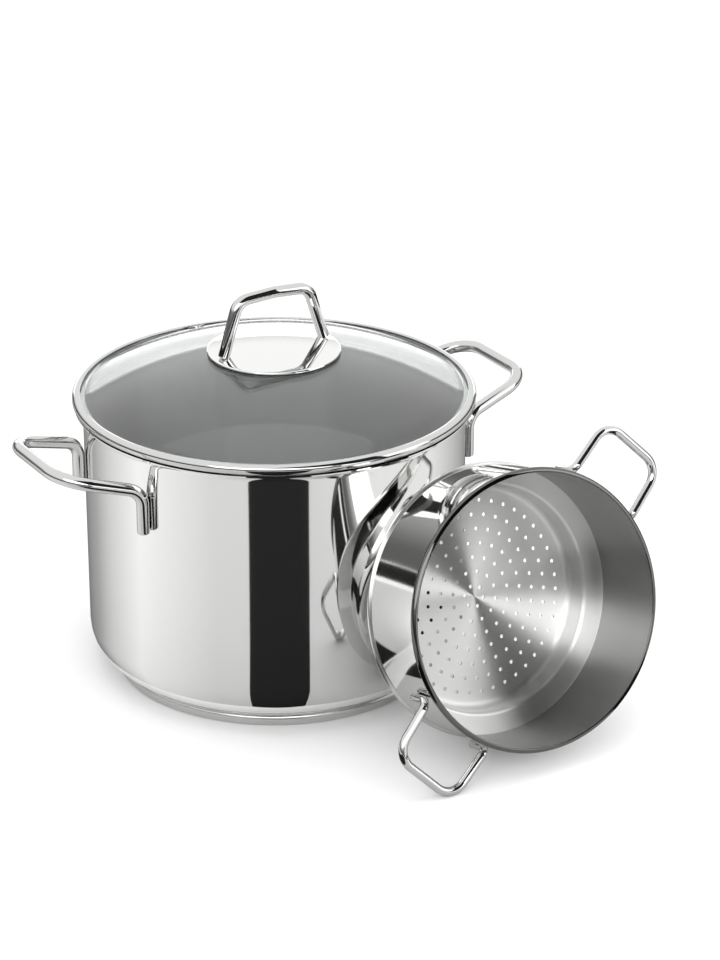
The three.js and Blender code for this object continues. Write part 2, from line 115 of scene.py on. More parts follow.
# Mirror-buffed stainless steel: a clear reflection, a little softened by fine buffing haze that runs
# round the piece, over a sheet that is very slightly wavy from drawing. The same steel is painted a shade
# darker for the rods, and darker still for the basket's rolled rim: painted shade, for the greyer
# reflections that they show.
SHEET_STEEL = "#ececeb"
SHADED_ROD_STEEL = "#d0d0cf"
PAINTED_SHADE_RIM_STEEL = "#6c6c6b"
BUFF_PITCH = 0.0012
WAVE_LENGTH = 0.06
GRAIN_RUN = 0.05


def buffed(name, colour):
    """Mirror-buffed stainless steel of the given colour."""
    finish = bpy.data.materials.new(name)
    finish.use_nodes = True
    tree = finish.node_tree
    steel = tree.nodes["Principled BSDF"]
    steel.inputs["Base Color"].default_value = linear(colour)
    steel.inputs["Metallic"].default_value = 1
    place = node(tree, "ShaderNodeTexCoord", {}).outputs["Object"]
    stretched = node(
        tree, "ShaderNodeMapping", {"Vector": place, "Scale": (GRAIN_RUN, GRAIN_RUN, 1)}
    ).outputs[0]
    haze = node(
        tree, "ShaderNodeTexNoise", {"Vector": stretched, "Scale": 1 / BUFF_PITCH, "Detail": 3}
    ).outputs[0]
    rough = node(tree, "ShaderNodeMapRange", {"Value": haze, "To Min": 0.03, "To Max": 0.08}).outputs[0]
    tree.links.new(rough, steel.inputs["Roughness"])
    waves = node(
        tree, "ShaderNodeTexNoise", {"Vector": place, "Scale": 1 / WAVE_LENGTH, "Detail": 1}
    ).outputs[0]
    bump = node(tree, "ShaderNodeBump", {"Height": waves, "Strength": 0.15, "Distance": 0.0004}).outputs[0]
    tree.links.new(bump, steel.inputs["Normal"])
    return finish


sheet_steel = buffed("mirror_buffed_sheet_steel", SHEET_STEEL)
# Painted shade: the rods, the lid rim and the small fittings take a darker copy of the sheet steel, for the
# greyer reflections that they show.
shaded_rod_steel = buffed("mirror_buffed_rod_steel_painted_shade", SHADED_ROD_STEEL)
# Painted shade: the basket's rolled rim takes a much darker copy of the steel, for the dark reflections
# along it.
rim_steel_painted_shade = buffed("rolled_rim_steel_painted_shade", PAINTED_SHADE_RIM_STEEL)

# Spun-brushed stainless steel, for the insides: fine scratches that run round the axis that the piece was
# turned on, so light spreads across them in a fan. They are drawn as coarse as they need to show.
SCRATCH_PITCH = 0.0009


def ring_scale(pitch):
    """The scale at which a wave texture's rings lie this far apart."""
    return 2 / pitch / math.tau


def spun_brushed(name, colour, middle, turn, axis):
    """A brushed finish whose scratches circle an axis through the given middle."""
    finish = bpy.data.materials.new(name)
    finish.use_nodes = True
    tree = finish.node_tree
    steel = tree.nodes["Principled BSDF"]
    steel.inputs["Base Color"].default_value = linear(colour)
    steel.inputs["Metallic"].default_value = 1
    steel.inputs["Anisotropic"].default_value = 1
    steel.inputs["Anisotropic Rotation"].default_value = 0.25
    place = node(tree, "ShaderNodeTexCoord", {}).outputs["Object"]
    upright = node(
        tree, "ShaderNodeMapping", {"Vector": place, "Location": middle, "Rotation": turn},
        vector_type="TEXTURE",
    ).outputs[0]
    rings = node(
        tree, "ShaderNodeTexWave",
        {
            "Vector": upright, "Scale": ring_scale(SCRATCH_PITCH), "Distortion": 6, "Detail": 3,
            "Detail Scale": 2,
        },
        wave_type="RINGS", rings_direction="Z",
    ).outputs["Fac"]
    rough = node(tree, "ShaderNodeMapRange", {"Value": rings, "To Min": 0.32, "To Max": 0.4}).outputs[0]
    tree.links.new(rough, steel.inputs["Roughness"])
    bump = node(tree, "ShaderNodeBump", {"Height": rings, "Strength": 0.1, "Distance": 0.00002}).outputs[0]
    tree.links.new(bump, steel.inputs["Normal"])
    outwards = node(tree, "ShaderNodeVectorMath", {0: place, 1: middle}, operation="SUBTRACT").outputs[0]
    across = node(
        tree, "ShaderNodeVectorMath", {0: axis, 1: outwards}, operation="CROSS_PRODUCT"
    ).outputs[0]
    along = node(tree, "ShaderNodeVectorMath", {0: across}, operation="NORMALIZE").outputs[0]
    tree.links.new(along, steel.inputs["Tangent"])
    return finish


FACING_IN = 1e-5
FACING_UP = 0.5


def brush_inside(form, top):
    """Gives the second finish to the faces of an upright vessel that look inwards, below its rim."""
    for face in form.faces:
        middle = face.calc_center_median()
        inwards = face.normal.dot(Vector((middle.x, middle.y, 0))) < -FACING_IN
        face.material_index = 1 if (inwards or face.normal.z > FACING_UP) and middle.z < top else 0


# Painted shade: the pot's brushed inside takes a darker copy of its steel, for the dim inside of the
# covered pot.
POT_INSIDE_SHADED = "#b0b0af"
shaded_pot_brushed = spun_brushed("pot_inside_brushed_steel_painted_shade", POT_INSIDE_SHADED, (0, 0, 0), (0, 0, 0), (0, 0, 1))
pot_low, pot_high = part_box("pot_body")
lip_r = pot_high.x
wall_r = lip_r - LIP_R
inner_r = wall_r - SHEET
floor_z = pot_low.z + SHEET
vessel = turned([
    (0, pot_low.z, 0),
    (wall_r, pot_low.z, CORNER_R),
    (wall_r, pot_high.z - SHEET, LIP_R),
    (lip_r, pot_high.z - SHEET, 0),
    (lip_r, pot_high.z, 0),
    (inner_r, pot_high.z, LIP_R),
    (inner_r, floor_z, CORNER_R - SHEET),
    (0, floor_z, 0),
])
brush_inside(vessel, pot_high.z - LIP_R)
piece(vessel, "pot_body_drawn", [sheet_steel, shaded_pot_brushed], "pot", "polished_steel", "pot_body")


# Base. An aluminium disc bonded under the pot spreads the heat, and a stainless cap pressed round it
# closes it in. The cap's underside shows the rings of the lathe that faced it.
BASE_EDGE_R = 0.0015
CAP_SHEET = 0.0008
CAP_STEEL = "#c4c4c3"
FACING_PITCH = 0.0015
facing_steel = bpy.data.materials.new("lathe_faced_stainless_steel")
facing_steel.use_nodes = True
tree = facing_steel.node_tree
steel = tree.nodes["Principled BSDF"]
steel.inputs["Base Color"].default_value = linear(CAP_STEEL)
steel.inputs["Metallic"].default_value = 1
place = node(tree, "ShaderNodeTexCoord", {}).outputs["Object"]
rings = node(
    tree, "ShaderNodeTexWave", {"Vector": place, "Scale": ring_scale(FACING_PITCH), "Distortion": 0.4},
    wave_type="RINGS", rings_direction="Z",
).outputs["Fac"]
rough = node(tree, "ShaderNodeMapRange", {"Value": rings, "To Min": 0.14, "To Max": 0.26}).outputs[0]
tree.links.new(rough, steel.inputs["Roughness"])
ring_bump = node(tree, "ShaderNodeBump", {"Height": rings, "Strength": 0.2, "Distance": 0.00003}).outputs[0]
tree.links.new(ring_bump, steel.inputs["Normal"])

_, base_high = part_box("base_cap")
_, core_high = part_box("base_core")
base_r = base_high.x
cap_round_r = base_r - BASE_EDGE_R
piece(
    turned([
        (0, 0, 0),
        (cap_round_r - BASE_EDGE_R, 0, 0),
        (base_r, 0, BASE_EDGE_R),
        (base_r, core_high.z, BASE_EDGE_R),
        (cap_round_r - CAP_SHEET, base_high.z, 0),
        (cap_round_r - CAP_SHEET, CAP_SHEET, 0),
        (0, CAP_SHEET, 0),
    ]),
    "base_cap_pressed", [facing_steel], "pot", "polished_steel", "base_cap",
)

# The core is closed in, so its CAD solid stays and takes the dull grey of rolled aluminium.
ALUMINIUM = "#b4b6b8"
ROLLING_GRAIN = 0.002
rolled_aluminium = bpy.data.materials.new("rolled_aluminium")
rolled_aluminium.use_nodes = True
tree = rolled_aluminium.node_tree
metal = tree.nodes["Principled BSDF"]
metal.inputs["Base Color"].default_value = linear(ALUMINIUM)
metal.inputs["Metallic"].default_value = 1
place = node(tree, "ShaderNodeTexCoord", {}).outputs["Object"]
rolled = node(tree, "ShaderNodeMapping", {"Vector": place, "Scale": (GRAIN_RUN, 1, 1)}).outputs[0]
grain = node(
    tree, "ShaderNodeTexNoise", {"Vector": rolled, "Scale": 1 / ROLLING_GRAIN, "Detail": 2}
).outputs[0]
rough = node(tree, "ShaderNodeMapRange", {"Value": grain, "To Min": 0.4, "To Max": 0.55}).outputs[0]
tree.links.new(rough, metal.inputs["Roughness"])
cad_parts["base_core"].material_slots[0].material = rolled_aluminium


# Pot handles. Solid 8 mm stainless rod, bent cold into a loop whose arms rise outwards, polished, and
# welded to the wall along its two legs.
POT_ROD_R = 0.004
POT_LEG_SPACING = 0.088
POT_BAR_SPACING = 0.073
POT_LEG_LENGTH = 0.028
POT_LEG_BEND_R = 0.012
POT_LOOP_CORNER_R = 0.022
WELD_GAP = 0.0003
ROD_END_ROUND = 0.3
ROD_END_STEPS = 4


def bent_rod(corners, bend_radii, rod_r, sides=24, bend_steps=12):
    """A round rod pulled along straights and spun round each bend, with its two ends rounded off."""
    form = bmesh.new()
    facing = (corners[1] - corners[0]).to_track_quat("Z", "Y").to_matrix().to_4x4()
    bmesh.ops.create_circle(
        form, cap_ends=True, radius=rod_r, segments=sides, matrix=Matrix.Translation(corners[0]) @ facing
    )
    first = form.edges[:]
    ring = first
    place = corners[0]

    def pull(ring, way):
        grown = bmesh.ops.extrude_edge_only(form, edges=ring)["geom"]
        moved = {v for v in grown if isinstance(v, bmesh.types.BMVert)}
        bmesh.ops.translate(form, verts=list(moved), vec=way)
        return [e for e in grown if isinstance(e, bmesh.types.BMEdge) and moved.issuperset(e.verts)]

    for corner, after, bend_r in zip(corners[1:], corners[2:], bend_radii):
        back = (place - corner).normalized()
        ahead = (after - corner).normalized()
        half = back.angle(ahead) / 2
        tangent = bend_r / math.tan(half)
        ring = pull(ring, corner + back * tangent - place)
        bent = bmesh.ops.spin(
            form, geom=ring, cent=corner + (back + ahead).normalized() * bend_r / math.sin(half),
            axis=ahead.cross(back), angle=math.pi - 2 * half, steps=bend_steps,
        )["geom_last"]
        ring = [e for e in bent if isinstance(e, bmesh.types.BMEdge)]
        place = corner + ahead * tangent
    ring = pull(ring, corners[-1] - place)
    bmesh.ops.edgeloop_fill(form, edges=ring)
    bmesh.ops.recalc_face_normals(form, faces=form.faces[:])
    bmesh.ops.bevel(
        form, geom=first + ring, offset=rod_r * ROD_END_ROUND, segments=ROD_END_STEPS, profile=0.5,
        affect="EDGES", material=-1,
    )
    return form


def loop_corners(leg_r, leg_spacing, leg_top, leg_length, bar_x, bar_spacing, bar_z):
    """The corners of a side handle towards +X: up one leg, out, along the bar, in and down the other."""
    leg_x = math.sqrt(leg_r ** 2 - (leg_spacing / 2) ** 2)
    half = [
        Vector((leg_x, leg_spacing / 2, leg_top - leg_length)),
        Vector((leg_x, leg_spacing / 2, leg_top)),
        Vector((bar_x, bar_spacing / 2, bar_z)),
    ]
    return half + [Vector((v.x, -v.y, v.z)) for v in reversed(half)]


handle_low, handle_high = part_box("pot_handle_right")
pot_loop = loop_corners(
    wall_r + WELD_GAP + POT_ROD_R, POT_LEG_SPACING, handle_low.z + POT_LEG_LENGTH, POT_LEG_LENGTH,
    handle_high.x - POT_ROD_R, POT_BAR_SPACING, handle_high.z - POT_ROD_R,
)
for side, turn in (("right", 0), ("left", math.pi)):
    rod = bent_rod(
        pot_loop, [POT_LEG_BEND_R, POT_LOOP_CORNER_R, POT_LOOP_CORNER_R, POT_LEG_BEND_R], POT_ROD_R
    )
    bmesh.ops.rotate(rod, verts=rod.verts[:], cent=(0, 0, 0), matrix=Matrix.Rotation(turn, 3, "Z"))
    piece(rod, f"pot_handle_rod_{side}", [shaded_rod_steel], "pot", "polished_steel", f"pot_handle_{side}")


# Lid glass. A disc of tempered glass, sagged hot into a shallow dome with a flat edge, ground at the
# edge and drilled for the handle's stud and for the steam vent.
GLASS_THICKNESS = 0.004
DOME_FOOT_R = 0.1198
DOME_FOOT_ROUND = 0.0016
GLASS_EDGE = 0.0004
STUD_HOLE_R = 0.0042
GLASS = "#f4f7f6"
SMEAR = 0.03
glass_low, glass_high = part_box("lid_glass")
edge_top = glass_low.z + GLASS_THICKNESS
dome_rise = glass_high.z - edge_top
dome_r = (DOME_FOOT_R ** 2 + dome_rise ** 2) / (2 * dome_rise)
dome_middle = glass_high.z - dome_r


def bow(middle_z, r, from_r, to_r, steps=24):
    """Outline points along a circle about the axis, between two distances from the axis."""
    first, last = math.asin(from_r / r), math.asin(to_r / r)
    angles = [first + (last - first) * i / steps for i in range(steps + 1)]
    return [(r * math.sin(a), middle_z + r * math.cos(a), 0) for a in angles]


under_r = dome_r - GLASS_THICKNESS
under_foot_r = math.sqrt(under_r ** 2 - (glass_low.z - dome_middle) ** 2)
tempered_glass = bpy.data.materials.new("tempered_soda_lime_glass")
tempered_glass.use_nodes = True
tree = tempered_glass.node_tree
clear = tree.nodes["Principled BSDF"]
clear.inputs["Base Color"].default_value = linear(GLASS)
clear.inputs["Transmission Weight"].default_value = 1
clear.inputs["IOR"].default_value = 1.52
place = node(tree, "ShaderNodeTexCoord", {}).outputs["Object"]
smears = node(tree, "ShaderNodeTexNoise", {"Vector": place, "Scale": 1 / SMEAR, "Detail": 4}).outputs[0]
rough = node(
    tree, "ShaderNodeMapRange",
    {"Value": smears, "From Min": 0.45, "From Max": 0.8, "To Min": 0, "To Max": 0.02},
).outputs[0]
tree.links.new(rough, clear.inputs["Roughness"])
lid_glass = piece(
    turned(
        [(glass_high.x, glass_low.z, GLASS_EDGE), (glass_high.x, edge_top, GLASS_EDGE)]
        + [(DOME_FOOT_R, edge_top, DOME_FOOT_ROUND)]
        + bow(dome_middle, dome_r, DOME_FOOT_R, STUD_HOLE_R)[1:]
        + bow(dome_middle, under_r, STUD_HOLE_R, under_foot_r),
        closed=True,
    ),
    "lid_glass_dome", [tempered_glass], "lid", "lid_glass", "lid_glass",
)


# Steam vent. A small stainless eyelet set in the glass behind the handle, with a flange turned over on
# each face.
VENT_TUBE_R = 0.0032
VENT_BORE_R = 0.0022
VENT_FLANGE_R = 0.005
VENT_FLANGE = 0.0006
VENT_EDGE = 0.0002
VENT_LIP = 0.0003
VENT_MOUTH = 0.0005
vent_low, vent_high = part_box("vent_eyelet")
vent_r = (vent_low.y + vent_high.y) / 2 / (1 - GLASS_THICKNESS / 2 / dome_r)
vent_slope = math.asin(vent_r / dome_r)
vent_place = Matrix.Translation((0, vent_r, dome_middle + dome_r * math.cos(vent_slope)))
vent_frame = vent_place @ Matrix.Rotation(-vent_slope, 4, "X")
vent_top = WELD_GAP
vent_bottom = -GLASS_THICKNESS - WELD_GAP
eyelet = turned([
    (VENT_BORE_R, vent_bottom - VENT_FLANGE, VENT_LIP),
    (VENT_FLANGE_R, vent_bottom - VENT_FLANGE, VENT_EDGE),
    (VENT_FLANGE_R, vent_bottom, VENT_EDGE),
    (VENT_TUBE_R, vent_bottom, 0),
    (VENT_TUBE_R, vent_top, 0),
    (VENT_FLANGE_R, vent_top, VENT_EDGE),
    (VENT_FLANGE_R, vent_top + VENT_FLANGE, VENT_LIP),
    (VENT_BORE_R, vent_top + VENT_FLANGE, VENT_MOUTH),
], segments=48, closed=True)
bmesh.ops.transform(eyelet, verts=eyelet.verts[:], matrix=vent_frame)
piece(eyelet, "vent_eyelet_flanged", [shaded_rod_steel], "lid", "polished_steel", "vent_eyelet")
drill = bmesh.new()
bmesh.ops.create_cone(
    drill, cap_ends=True, segments=48, radius1=VENT_TUBE_R + WELD_GAP, radius2=VENT_TUBE_R + WELD_GAP,
    depth=4 * GLASS_THICKNESS, matrix=vent_frame,
)


def cut(target, cutter_form):
    """Cuts a shape out of a piece, and leaves only the piece."""
    mesh = bpy.data.meshes.new("cutter")
    cutter_form.to_mesh(mesh)
    cutter_form.free()
    cutter = bpy.data.objects.new("cutter", mesh)
    bpy.context.collection.objects.link(cutter)
    hole = target.modifiers.new("hole", "BOOLEAN")
    hole.object = cutter
    hole.solver = "MANIFOLD"
    with bpy.context.temp_override(object=target, active_object=target):
        bpy.ops.object.modifier_apply(modifier=hole.name)
    bpy.data.objects.remove(cutter)


cut(lid_glass, drill)


# Lid rim. A stainless band rolled over the ground edge of the glass, with a round outer edge and a
# short skirt that drops into the pot's mouth and centres the lid.
RIM_HEIGHT = 0.0074
RIM_FLANGE = 0.005
RIM_SHEET = 0.0007
RIM_ROLL = RIM_HEIGHT * 0.49
RIM_LIP = 0.0003
SKIRT_R = 0.119
SKIRT_ROUND = 0.0006
rim_low, rim_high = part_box("lid_rim")
rim_bottom = rim_high.z - RIM_HEIGHT
rim_inner_r = rim_high.x - RIM_FLANGE
grip_top = edge_top + WELD_GAP
grip_bottom = glass_low.z - WELD_GAP
grip_r = glass_high.x + WELD_GAP
piece(
    turned([
        (SKIRT_R - RIM_SHEET, rim_low.z, 0),
        (SKIRT_R, rim_low.z, 0),
        (SKIRT_R, rim_bottom, SKIRT_ROUND),
        (rim_high.x, rim_bottom, RIM_ROLL),
        (rim_high.x, rim_high.z, RIM_ROLL),
        (rim_inner_r, grip_top + RIM_SHEET, RIM_LIP),
        (rim_inner_r, grip_top, 0),
        (grip_r, grip_top, 0),
        (grip_r, grip_bottom, 0),
        (SKIRT_R - RIM_SHEET, grip_bottom, 0),
    ], segments=192, closed=True),
    "lid_rim_rolled", [shaded_rod_steel], "lid", "polished_steel", "lid_rim",
)


# Handle plate. A stainless disc pressed convex and polished to a mirror, with its edge turned down on
# a silicone ring that keeps it off the glass.
PLATE_SHEET = 0.001
PLATE_EDGE = 0.0012
PLATE_EDGE_R = 0.0008
CROWN_SHARE = 0.96
CROWN_STEPS = 12
plate_low, plate_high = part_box("handle_plate")
plate_r = plate_high.x
plate_shoulder = plate_low.z + PLATE_EDGE
crown = plate_high.z - plate_shoulder
crown_r = (plate_r ** 2 + crown ** 2) / (2 * crown)
crown_middle = plate_high.z - crown_r
plate_inner_r = plate_r - PLATE_SHEET
piece(
    turned(
        bow(crown_middle, crown_r - PLATE_SHEET, 0, plate_inner_r, CROWN_STEPS)
        + [(plate_inner_r, plate_low.z, 0), (plate_r, plate_low.z, 0)]
        + [(plate_r, plate_shoulder, PLATE_EDGE_R)]
        + bow(crown_middle, crown_r, plate_r * CROWN_SHARE, 0, CROWN_STEPS)
    ),
    "handle_plate_pressed", [sheet_steel], "lid", "polished_steel", "handle_plate",
)

# The silicone ring and the washer under the glass are moulded black silicone: dull, with a soft sheen.
SILICONE = "#232323"
MOULD_GRAIN = 0.0004
silicone = bpy.data.materials.new("moulded_black_silicone")
silicone.use_nodes = True
tree = silicone.node_tree
rubber = tree.nodes["Principled BSDF"]
rubber.inputs["Base Color"].default_value = linear(SILICONE)
rubber.inputs["IOR"].default_value = 1.42
place = node(tree, "ShaderNodeTexCoord", {}).outputs["Object"]
grain = node(
    tree, "ShaderNodeTexNoise", {"Vector": place, "Scale": 1 / MOULD_GRAIN, "Detail": 2}
).outputs[0]
rough = node(tree, "ShaderNodeMapRange", {"Value": grain, "To Min": 0.55, "To Max": 0.75}).outputs[0]
tree.links.new(rough, rubber.inputs["Roughness"])
grain_bump = node(
    tree, "ShaderNodeBump", {"Height": grain, "Strength": 0.3, "Distance": 0.00004}
).outputs[0]
tree.links.new(grain_bump, rubber.inputs["Normal"])
GASKET_WIDTH = 0.003
GASKET = 0.0006
GASKET_EDGE = 0.0002
ring_low, ring_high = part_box("plate_gasket")
ring_inner_r = ring_high.x - GASKET_WIDTH
piece(
    turned([
        (ring_inner_r, ring_high.z - GASKET, GASKET_EDGE),
        (ring_high.x, ring_low.z, GASKET_EDGE),
        (ring_high.x, ring_low.z + GASKET, GASKET_EDGE),
        (ring_inner_r, ring_high.z, GASKET_EDGE),
    ], closed=True),
    "plate_gasket_ring", [silicone], "lid", "silicone", "plate_gasket",
)


# Lid handle. Polished stainless rod bent into a bow that narrows upwards, with a slightly arched grip
# and its two feet welded to the plate.
LID_ROD_R = 0.0038
LID_FOOT_HALF = 0.036
LID_GRIP_HALF = 0.025
LID_GRIP_HEIGHT = 0.036
LID_GRIP_BOW = 0.0015
LID_GRIP_CORNER_R = 0.01
grip_z = plate_shoulder + LID_GRIP_HEIGHT
foot_z = crown_middle + math.sqrt(crown_r ** 2 - LID_FOOT_HALF ** 2)
bow_corners = [
    Vector((-LID_FOOT_HALF, 0, foot_z)),
    Vector((-LID_GRIP_HALF, 0, grip_z)),
    Vector((0, 0, grip_z + LID_GRIP_BOW)),
    Vector((LID_GRIP_HALF, 0, grip_z)),
    Vector((LID_FOOT_HALF, 0, foot_z)),
]
piece(
    bent_rod(bow_corners, [LID_GRIP_CORNER_R, 2 * LID_GRIP_HALF, LID_GRIP_CORNER_R], LID_ROD_R),
    "lid_handle_rod", [shaded_rod_steel], "lid", "polished_steel", "lid_handle",
)


# Clamping stack under the glass: silicone washer, steel washer and domed cap nut on the stud that is
# welded under the plate and holds the whole handle to the glass.
STACK_EDGE = 0.0002
STACK_BORE_R = 0.0033
STUD_EDGE = 0.0004
for node_name, piece_name, finish, slot in (
    ("inner_gasket", "inner_gasket_washer", silicone, "silicone"),
    ("clamp_washer", "clamp_washer_stamped", shaded_rod_steel, "polished_steel"),
):
    low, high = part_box(node_name)
    piece(
        turned([
            (STACK_BORE_R, low.z, STACK_EDGE),
            (high.x, low.z, STACK_EDGE),
            (high.x, high.z, STACK_EDGE),
            (STACK_BORE_R, high.z, STACK_EDGE),
        ], segments=64, closed=True),
        piece_name, [finish], "lid", slot, node_name,
    )
stud_low, stud_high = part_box("handle_stud")
piece(
    turned([
        (0, stud_low.z, 0),
        (stud_high.x, stud_low.z, STUD_EDGE),
        (stud_high.x, stud_high.z, 0),
        (0, stud_high.z, 0),
    ], segments=48),
    "handle_stud_welded", [shaded_rod_steel], "lid", "polished_steel", "handle_stud",
)
NUT_HEIGHT = 0.005
NUT_CAP_R = 0.004
NUT_EDGE = 0.0004
nut_low, nut_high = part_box("cap_nut")
nut_corner_r = (nut_high.y - nut_low.y) / 2
hexagon_low = nut_high.z - NUT_HEIGHT
nut = bmesh.new()
bmesh.ops.create_cone(
    nut, cap_ends=True, segments=6, radius1=nut_corner_r, radius2=nut_corner_r, depth=NUT_HEIGHT,
    matrix=Matrix.Translation((0, 0, hexagon_low + NUT_HEIGHT / 2)),
)
bmesh.ops.bevel(
    nut, geom=nut.edges[:], offset=NUT_EDGE, segments=3, profile=0.5, affect="EDGES", material=-1
)
bmesh.ops.create_uvsphere(
    nut, u_segments=32, v_segments=16, radius=NUT_CAP_R, matrix=Matrix.Translation((0, 0, hexagon_low))
)
piece(nut, "cap_nut_domed", [shaded_rod_steel], "lid", "polished_steel", "cap_nut")


# Basket shell. One thinner stainless sheet, drawn in two steps with a bead at the ledge, rolled over at
# the rim and punched with rings of holes. It leans on the pot, so it is made upright and then placed.
BASKET_LEAN = math.radians(15.5)
BASKET_HEADING = math.radians(-0.3)
BASKET_SHEET = 0.0007
BASKET_DEPTH = 0.074
BASKET_STEP = 0.016
BASKET_LOW_R = 0.071
BASKET_WALL_R = 0.0843
BASKET_CORNER_R = 0.005
BASKET_LEDGE_R = 0.002
BASKET_BEAD = 0.0015
BASKET_RIM = 0.0024
BASKET_EDGE = BASKET_SHEET * 0.9
RIM_WIRE_ROUND = BASKET_RIM * 0.95
BEAD_ROUND = BASKET_BEAD * 0.9
BEAD_TOP_ROUND = 0.0003
BEAD_BACK_ROUND = 0.0004
BEAD_FOOT_ROUND = 0.0007
FLAT_R = 0.064
FLAT_WITHIN = 0.00002
HOLE_R = 0.0012
HOLE_RINGS = 7
HOLE_PITCH = 0.0089
FIRST_RING_R = 0.0067
HOLES_IN_FIRST_RING = 6
upright_axis = Vector((0, -math.cos(BASKET_LEAN), math.sin(BASKET_LEAN)))
axis = Matrix.Rotation(BASKET_HEADING, 3, "Z") @ upright_axis
shell_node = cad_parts["basket_shell"]
shell_points = {tuple(round(c, 6) for c in v.co) for v in shell_node.data.vertices}
lowest = min(axis.dot(point) for point in shell_points)
underside = [Vector(point) for point in shell_points if axis.dot(point) < lowest + FLAT_WITHIN]
basket_middle = sum(underside, Vector()) / len(underside)
upper_low, upper_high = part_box("basket_handle_upper")
lower_low, lower_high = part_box("basket_handle_lower")
across = upper_low + upper_high - lower_low - lower_high
across = (across - axis * axis.dot(across)).normalized()
basket_frame = Matrix((across, axis.cross(across), axis)).transposed().to_4x4()
basket_frame.translation = basket_middle

# The basket is brushed inside. Up its wall the same brushed steel is painted a shade darker than on its
# bottom: painted shade inside the basket.
BASKET_INSIDE = "#e4e4e3"
BASKET_WALL_SHADED = "#a6a6a5"
basket_brushed = spun_brushed(
    "basket_inside_brushed_steel", BASKET_INSIDE, basket_middle, basket_frame.to_euler(), tuple(axis)
)
shaded_basket_wall_brushed = spun_brushed(
    "basket_wall_brushed_steel_painted_shade", BASKET_WALL_SHADED, basket_middle, basket_frame.to_euler(), tuple(axis)
)
bead_r = BASKET_WALL_R + BASKET_BEAD
bead_top = BASKET_STEP + 2 * BASKET_BEAD
rim_foot = BASKET_DEPTH - 2 * BASKET_RIM
shell = turned([
    (0, 0, 0),
    (FLAT_R, 0, 0),
    (BASKET_LOW_R, 0, BASKET_CORNER_R),
    (BASKET_LOW_R, BASKET_STEP, BASKET_LEDGE_R),
    (bead_r, BASKET_STEP, BASKET_BEAD),
    (bead_r, bead_top, BEAD_ROUND),
    (BASKET_WALL_R, bead_top, 0),
    (BASKET_WALL_R, rim_foot, 0),
    (BASKET_WALL_R + BASKET_RIM, rim_foot, RIM_WIRE_ROUND),
    (BASKET_WALL_R + BASKET_RIM, BASKET_DEPTH, RIM_WIRE_ROUND),
    (BASKET_WALL_R - BASKET_SHEET, BASKET_DEPTH, BASKET_EDGE),
    (BASKET_WALL_R - BASKET_SHEET, bead_top, BEAD_TOP_ROUND),
    (bead_r - BASKET_SHEET, bead_top - BASKET_SHEET, BEAD_BACK_ROUND),
    (bead_r - BASKET_SHEET, BASKET_STEP + BASKET_SHEET, BEAD_FOOT_ROUND),
    (BASKET_LOW_R - BASKET_SHEET, BASKET_STEP + BASKET_SHEET, BASKET_LEDGE_R + BASKET_SHEET),
    (BASKET_LOW_R - BASKET_SHEET, BASKET_SHEET, BASKET_CORNER_R - BASKET_SHEET),
    (FLAT_R, BASKET_SHEET, 0),
    (0, BASKET_SHEET, 0),
], segments=144)
shell_finishes = [sheet_steel, basket_brushed, shaded_basket_wall_brushed, rim_steel_painted_shade]
brush_inside(shell, BASKET_DEPTH - BASKET_RIM)
for face in shell.faces:
    face_height = face.calc_center_median().z
    if face.material_index and face_height > bead_top:
        face.material_index = shell_finishes.index(shaded_basket_wall_brushed)
    # The rolled rim takes the darker rim steel, which is painted shade.
    elif face_height > rim_foot:
        face.material_index = shell_finishes.index(rim_steel_painted_shade)
basket_shell = piece(
    shell, "basket_shell_drawn", shell_finishes, "basket", "basket_steel", "basket_shell"
)
punches = bmesh.new()
for ring_number in range(1, HOLE_RINGS + 1):
    count = HOLES_IN_FIRST_RING * ring_number
    for i in range(count):
        spot = Matrix.Rotation(math.tau * i / count, 4, "Z") @ Matrix.Translation(
            (FIRST_RING_R + HOLE_PITCH * (ring_number - 1), 0, 0)
        )
        bmesh.ops.create_cone(
            punches, cap_ends=True, segments=16, radius1=HOLE_R, radius2=HOLE_R, depth=4 * BASKET_SHEET,
            matrix=spot,
        )
cut(basket_shell, punches)
basket_shell.data.transform(basket_frame)


# Basket handles. Thinner stainless rod bent into flat loops, each welded by its two legs to the wall
# under the rim, long enough to hang on the pot's lip.
BASKET_ROD_R = 0.00275
BASKET_BAR_R = 0.121
BASKET_LEG_SPACING = 0.052
BASKET_BAR_SPACING = 0.049
BASKET_LEG_LENGTH = 0.017
BASKET_ARM_DROP = 0.009
BASKET_LEG_BEND_R = 0.006
BASKET_LOOP_CORNER_R = 0.013
arm_height = BASKET_DEPTH - BASKET_ARM_DROP
basket_loop = loop_corners(
    BASKET_WALL_R + WELD_GAP + BASKET_ROD_R, BASKET_LEG_SPACING, arm_height, BASKET_LEG_LENGTH,
    BASKET_BAR_R, BASKET_BAR_SPACING, arm_height,
)
for place_name, turn in (("upper", 0), ("lower", math.pi)):
    rod = bent_rod(
        basket_loop, [BASKET_LEG_BEND_R, BASKET_LOOP_CORNER_R, BASKET_LOOP_CORNER_R, BASKET_LEG_BEND_R],
        BASKET_ROD_R,
    )
    bmesh.ops.transform(rod, verts=rod.verts[:], matrix=basket_frame @ Matrix.Rotation(turn, 4, "Z"))
    node_name = f"basket_handle_{place_name}"
    piece(rod, f"{node_name}_rod", [shaded_rod_steel], "basket", "polished_steel", node_name)


